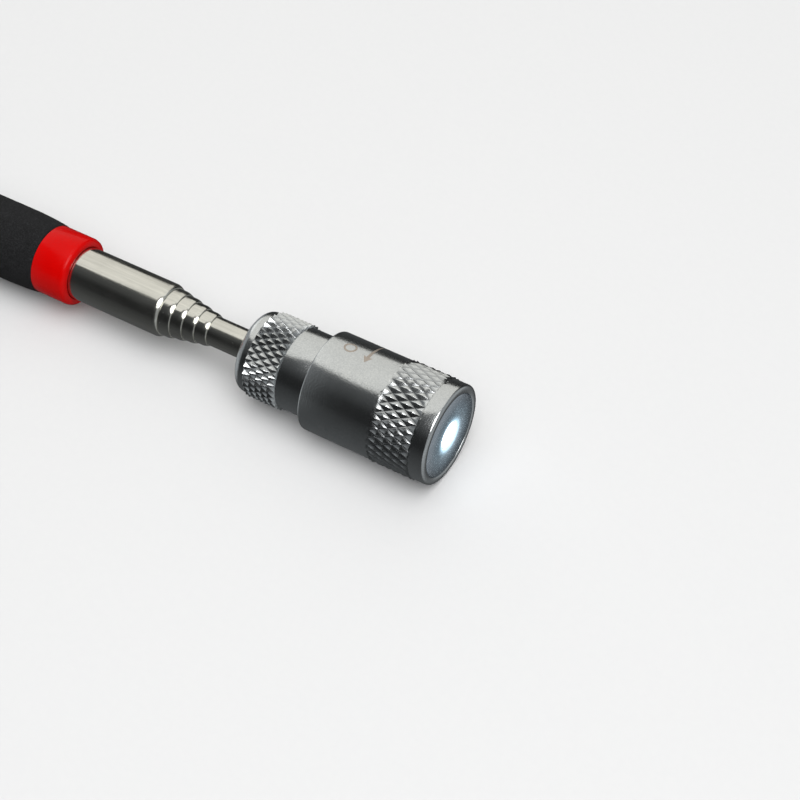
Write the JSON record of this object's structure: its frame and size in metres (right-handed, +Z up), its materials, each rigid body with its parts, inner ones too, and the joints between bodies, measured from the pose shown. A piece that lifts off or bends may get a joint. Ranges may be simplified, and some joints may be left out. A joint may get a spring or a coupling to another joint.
{
  "type": "telescopic magnetic pick-up tool",
  "caption": "Telescopic magnetic pick-up reacher: foam-gripped handle, nested polished tubes, knurled battery barrel and twist-on lamp head with a ring magnet round its light.",
  "frame": {"origin": "under the middle of the closed tool, on the surface that the head's knurl rests on", "axes": "+X along the mast towards the magnet, +Z up"},
  "size_m": [0.2014, 0.019, 0.019],
  "materials": {
    "polished_tube": "polished nickel over drawn tube",
    "foam": "matte fine-celled foam",
    "red_plastic": "smooth moulded",
    "nickel_head": "nickel plated, lightly grained turning",
    "magnet_plate": "bright nickel plate",
    "spring_brass": "bright strip",
    "spring_steel": "drawn wire",
    "cell_can": "nickel plated can",
    "black_plastic": "moulded",
    "seal_rubber": "smooth",
    "lamp_lens": "clear epoxy, lit",
    "lead_wire": "tinned",
    "resistor_lacquer": "lacquered"
  },
  "bodies": {
    "handle": {"outer_tube": "polished_tube", "foam_grip": "foam", "front_collar": "red_plastic", "end_cap": "red_plastic"},
    "stage_2": {"tube_2": "polished_tube", "friction_sleeve_2": "spring_brass"},
    "stage_3": {"tube_3": "polished_tube", "friction_sleeve_3": "spring_brass"},
    "stage_4": {"tube_4": "polished_tube", "friction_sleeve_4": "spring_brass"},
    "stage_5": {"tube_5": "polished_tube", "friction_sleeve_5": "spring_brass"},
    "stage_6": {"friction_sleeve_6": "spring_brass"},
    "head": {"tube_6": "polished_tube", "battery_barrel": "nickel_head", "contact_spring": "spring_steel", "cell_sleeve": "black_plastic", "cell_1": "cell_can", "cell_2": "cell_can", "cell_3": "cell_can"},
    "seal": {"o_ring": "seal_rubber"},
    "lamp": {"lamp_shell": "nickel_head", "magnet_ring": "magnet_plate", "led": "lamp_lens", "led_holder": "black_plastic", "led_leads": "lead_wire", "resistor": "resistor_lacquer", "contact_disc": "spring_brass"}
  },
  "joints": [
    {"name": "slide_tube_2", "type": "slide", "parent": "handle", "child": "stage_2", "axis": [1, 0, 0], "range_m": [0, 0.118]},
    {"name": "slide_tube_3", "type": "slide", "parent": "stage_2", "child": "stage_3", "axis": [1, 0, 0], "range_m": [0, 0.1138]},
    {"name": "slide_tube_4", "type": "slide", "parent": "stage_3", "child": "stage_4", "axis": [1, 0, 0], "range_m": [0, 0.1095]},
    {"name": "slide_tube_5", "type": "slide", "parent": "stage_4", "child": "stage_5", "axis": [1, 0, 0], "range_m": [0, 0.1053]},
    {"name": "slide_tube_6", "type": "slide", "parent": "stage_5", "child": "stage_6", "axis": [1, 0, 0], "range_m": [0, 0.101]},
    {"name": "mast_swivel", "type": "hinge", "parent": "stage_6", "child": "head", "pos_m": [-0.052, 0, 0.0095], "axis": [1, 0, 0], "continuous": true},
    {"name": "lamp_twist", "type": "hinge", "parent": "head", "child": "seal", "pos_m": [0.0774, 0, 0.0095], "axis": [1, 0, 0], "range_deg": [0, 1800]},
    {"name": "lamp_advance", "type": "slide", "parent": "seal", "child": "lamp", "axis": [1, 0, 0], "range_m": [0, 0.0051]}
  ],
  "couplings": [
    {"joint": "lamp_advance", "follows": "lamp_twist", "m_per_rad": 0.00015915}
  ]
}
